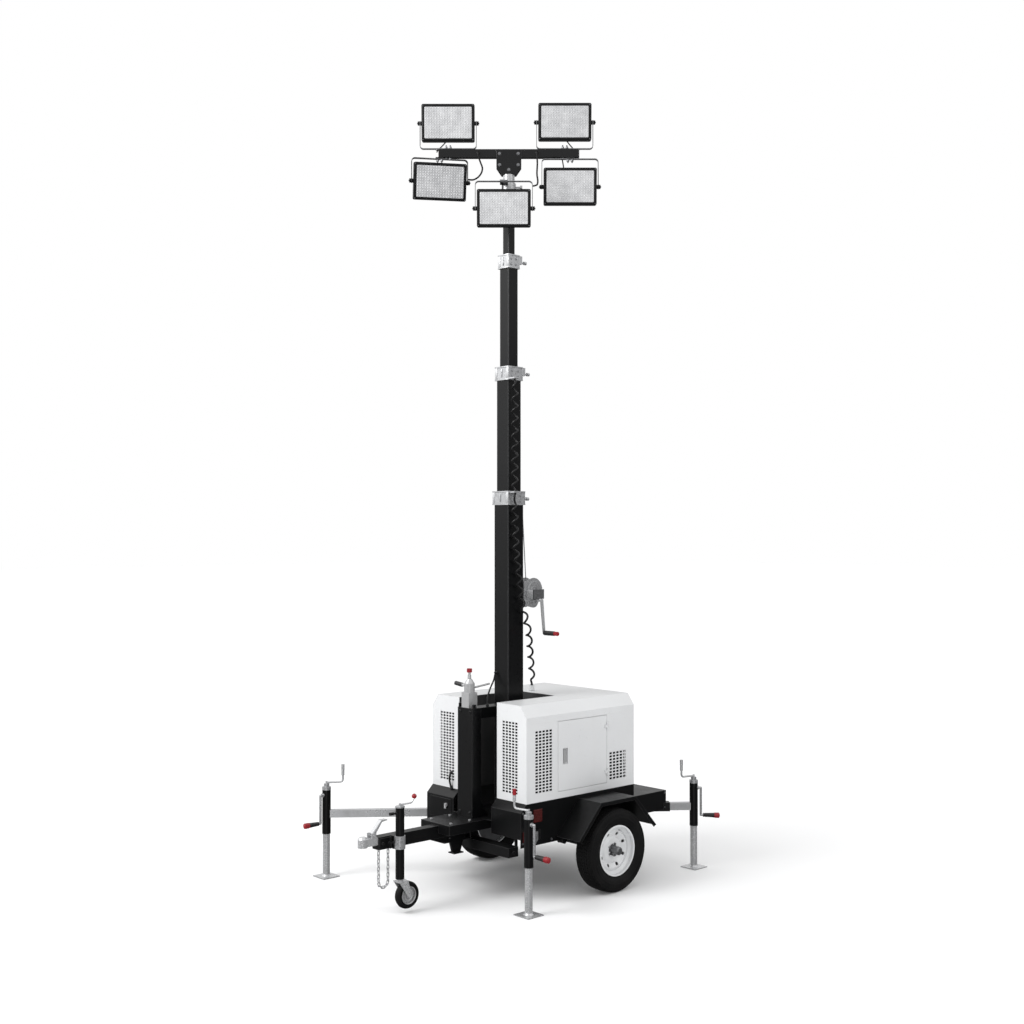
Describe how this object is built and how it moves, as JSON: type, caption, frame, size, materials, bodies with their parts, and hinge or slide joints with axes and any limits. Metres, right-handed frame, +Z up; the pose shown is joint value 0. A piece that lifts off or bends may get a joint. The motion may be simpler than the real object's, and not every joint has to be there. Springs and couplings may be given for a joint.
{
  "type": "mobile light tower",
  "caption": "Mobile light tower: trailer with a white generator canopy, black telescopic mast with floodlights, jacks and a curly cord.",
  "frame": {"origin": "on the ground, under the middle of the whole object's box", "axes": "+Z up; the trailer's hitch points along -X and its left side is -Y"},
  "size_m": [3.6159, 2.2551, 6.3558],
  "materials": {
    "black_paint": "gloss",
    "white_paint": "gloss",
    "galvanised": "satin",
    "rubber": "matte",
    "cable": "matte",
    "engine": "satin",
    "dark_sheet": "satin"
  },
  "bodies": {
    "trailer": {"base_frame": "black_paint", "outrigger_sleeves": "black_paint", "tongue": "black_paint", "locker_door": "black_paint", "fenders": "black_paint", "axle": "black_paint", "coupler": "galvanised", "safety_chain": "galvanised", "canopy_roof": "white_paint", "canopy_left": "white_paint", "canopy_right": "white_paint", "canopy_ends": "white_paint", "notch_lining": "dark_sheet", "grilles_left": "white_paint", "grilles_right": "white_paint", "grilles_ends": "white_paint", "genset": "engine", "front_post": "black_paint", "lock_head": "galvanised", "mast_base": "black_paint", "winch": "galvanised", "cord_lower": "cable", "mast_cables": "cable"},
    "wheel_left": {"tyre_left": "rubber", "rim_left": "white_paint"},
    "wheel_right": {"tyre_right": "rubber", "rim_right": "white_paint"},
    "door_left": {"door_left": "white_paint"},
    "door_right": {"door_right": "white_paint"},
    "coupler_handle": {"coupler_handle": "galvanised"},
    "jockey_leg": {"jockey_tube": "black_paint"},
    "jockey_crank": {"jockey_crank": "galvanised"},
    "jockey_fork": {"jockey_fork": "galvanised"},
    "jockey_wheel": {"jockey_wheel": "rubber"},
    "lock_plunger": {"lock_plunger": "galvanised"},
    "outrigger_lf": {"outrigger_lf": "galvanised"},
    "jack_leg_lf": {"jack_leg_lf": "galvanised"},
    "jack_crank_lf": {"jack_crank_lf": "galvanised"},
    "outrigger_lr": {"outrigger_lr": "galvanised"},
    "jack_leg_lr": {"jack_leg_lr": "galvanised"},
    "jack_crank_lr": {"jack_crank_lr": "galvanised"},
    "outrigger_rf": {"outrigger_rf": "galvanised"},
    "jack_leg_rf": {"jack_leg_rf": "galvanised"},
    "jack_crank_rf": {"jack_crank_rf": "galvanised"},
    "outrigger_rr": {"outrigger_rr": "galvanised"},
    "jack_leg_rr": {"jack_leg_rr": "galvanised"},
    "jack_crank_rr": {"jack_crank_rr": "galvanised"},
    "mast_2": {"mast_2": "black_paint", "cord_upper": "cable"},
    "mast_3": {"mast_3": "black_paint"},
    "mast_4": {"mast_4": "black_paint"},
    "light_head": {"t_bar": "black_paint", "lamp_leads": "cable"},
    "lamp_1": {"lamp_1": "black_paint"},
    "lamp_2": {"lamp_2": "black_paint"},
    "lamp_3": {"lamp_3": "black_paint"},
    "lamp_4": {"lamp_4": "black_paint"},
    "lamp_5": {"lamp_5": "black_paint"},
    "winch_crank": {"winch_crank": "galvanised"}
  },
  "joints": [
    {"name": "wheel_left", "type": "hinge", "parent": "trailer", "child": "wheel_left", "pos_m": [0.12005, -0.86897, 0.33], "axis": [0, 1, 0], "continuous": true},
    {"name": "wheel_right", "type": "hinge", "parent": "trailer", "child": "wheel_right", "pos_m": [0.12005, 0.58903, 0.33], "axis": [0, 1, 0], "continuous": true},
    {"name": "door_left", "type": "hinge", "parent": "trailer", "child": "door_left", "pos_m": [0.24755, -0.71277, 1.067], "axis": [0, 0, 1], "range_deg": [0, 100]},
    {"name": "door_right", "type": "hinge", "parent": "trailer", "child": "door_right", "pos_m": [0.24755, 0.43283, 1.067], "axis": [0, 0, -1], "range_deg": [0, 100]},
    {"name": "coupler_handle", "type": "hinge", "parent": "trailer", "child": "coupler_handle", "pos_m": [-1.68995, -0.13997, 0.5965], "axis": [0, 1, 0], "range_deg": [-20, 35]},
    {"name": "jockey_slide", "type": "slide", "parent": "trailer", "child": "jockey_leg", "axis": [0, 0, 1], "range_m": [-0.025, 0.2]},
    {"name": "jockey_crank", "type": "hinge", "parent": "jockey_leg", "child": "jockey_crank", "pos_m": [-1.49995, -0.23597, 0.8], "axis": [0, 0, 1], "continuous": true},
    {"name": "jockey_swivel", "type": "hinge", "parent": "jockey_leg", "child": "jockey_fork", "pos_m": [-1.49995, -0.23597, 0.3], "axis": [0, 0, 1], "continuous": true},
    {"name": "jockey_wheel", "type": "hinge", "parent": "jockey_fork", "child": "jockey_wheel", "pos_m": [-1.43395, -0.23597, 0.131], "axis": [0, 1, 0], "continuous": true},
    {"name": "lock_plunger", "type": "slide", "parent": "trailer", "child": "lock_plunger", "axis": [0, 0, 1], "range_m": [0, 0.03]},
    {"name": "outrigger_lf", "type": "slide", "parent": "trailer", "child": "outrigger_lf", "axis": [-0.7782, -0.628, 0], "range_m": [-0.02, 0.61]},
    {"name": "jack_leg_lf", "type": "slide", "parent": "outrigger_lf", "child": "jack_leg_lf", "axis": [0, 0, 1], "range_m": [-0.1, 0.19]},
    {"name": "jack_crank_lf", "type": "hinge", "parent": "outrigger_lf", "child": "jack_crank_lf", "pos_m": [-0.818, -0.91357, 0.78], "axis": [0, 0, 1], "continuous": true},
    {"name": "outrigger_lr", "type": "slide", "parent": "trailer", "child": "outrigger_lr", "axis": [0.7782, -0.628, 0], "range_m": [-0.02, 0.61]},
    {"name": "jack_leg_lr", "type": "slide", "parent": "outrigger_lr", "child": "jack_leg_lr", "axis": [0, 0, 1], "range_m": [-0.1, 0.19]},
    {"name": "jack_crank_lr", "type": "hinge", "parent": "outrigger_lr", "child": "jack_crank_lr", "pos_m": [1.1757, -0.84387, 0.78], "axis": [0, 0, 1], "continuous": true},
    {"name": "outrigger_rf", "type": "slide", "parent": "trailer", "child": "outrigger_rf", "axis": [-0.7782, 0.628, 0], "range_m": [-0.61, 0.02]},
    {"name": "jack_leg_rf", "type": "slide", "parent": "outrigger_rf", "child": "jack_leg_rf", "axis": [0, 0, 1], "range_m": [-0.1, 0.19]},
    {"name": "jack_crank_rf", "type": "hinge", "parent": "outrigger_rf", "child": "jack_crank_rf", "pos_m": [-1.29584, 1.0192, 0.78], "axis": [0, 0, 1], "continuous": true},
    {"name": "outrigger_rr", "type": "slide", "parent": "trailer", "child": "outrigger_rr", "axis": [0.7782, 0.628, 0], "range_m": [-0.61, 0.02]},
    {"name": "jack_leg_rr", "type": "slide", "parent": "outrigger_rr", "child": "jack_leg_rr", "axis": [0, 0, 1], "range_m": [-0.1, 0.19]},
    {"name": "jack_crank_rr", "type": "hinge", "parent": "outrigger_rr", "child": "jack_crank_rr", "pos_m": [1.65354, 0.94949, 0.78], "axis": [0, 0, 1], "continuous": true},
    {"name": "mast_2", "type": "slide", "parent": "trailer", "child": "mast_2", "axis": [0, 0, 1], "range_m": [-0.87, 0.75], "deforming": ["cord_upper"]},
    {"name": "mast_3", "type": "slide", "parent": "mast_2", "child": "mast_3", "axis": [0, 0, 1], "range_m": [-0.78, 0.5]},
    {"name": "mast_4", "type": "slide", "parent": "mast_3", "child": "mast_4", "axis": [0, 0, 1], "range_m": [-0.16, 0.3]},
    {"name": "head_swivel", "type": "hinge", "parent": "mast_4", "child": "light_head", "pos_m": [-0.31095, -0.13997, 5.632], "axis": [0, 0, 1], "range_deg": [-170, 170]},
    {"name": "lamp_1_tilt", "type": "hinge", "parent": "light_head", "child": "lamp_1", "pos_m": [-0.67679, 0.19644, 6.196], "axis": [0.7361, -0.6769, 0], "range_deg": [-30, 45]},
    {"name": "lamp_2_tilt", "type": "hinge", "parent": "light_head", "child": "lamp_2", "pos_m": [0.02618, -0.44998, 6.204], "axis": [0.7361, -0.6769, 0], "range_deg": [-30, 45]},
    {"name": "lamp_3_tilt", "type": "hinge", "parent": "light_head", "child": "lamp_3", "pos_m": [-0.72832, 0.24382, 5.716], "axis": [0.8425, -0.5388, 0], "range_deg": [-30, 45]},
    {"name": "lamp_4_tilt", "type": "hinge", "parent": "light_head", "child": "lamp_4", "pos_m": [0.05783, -0.47908, 5.674], "axis": [0.7361, -0.6769, 0], "range_deg": [-30, 45]},
    {"name": "lamp_5_tilt", "type": "hinge", "parent": "light_head", "child": "lamp_5", "pos_m": [-0.45208, -0.23435, 5.456], "axis": [0.7361, -0.6769, 0], "range_deg": [-18, 17]},
    {"name": "winch_crank", "type": "hinge", "parent": "trailer", "child": "winch_crank", "pos_m": [-0.12195, -0.32997, 2.288], "axis": [0, 1, 0], "continuous": true}
  ]
}
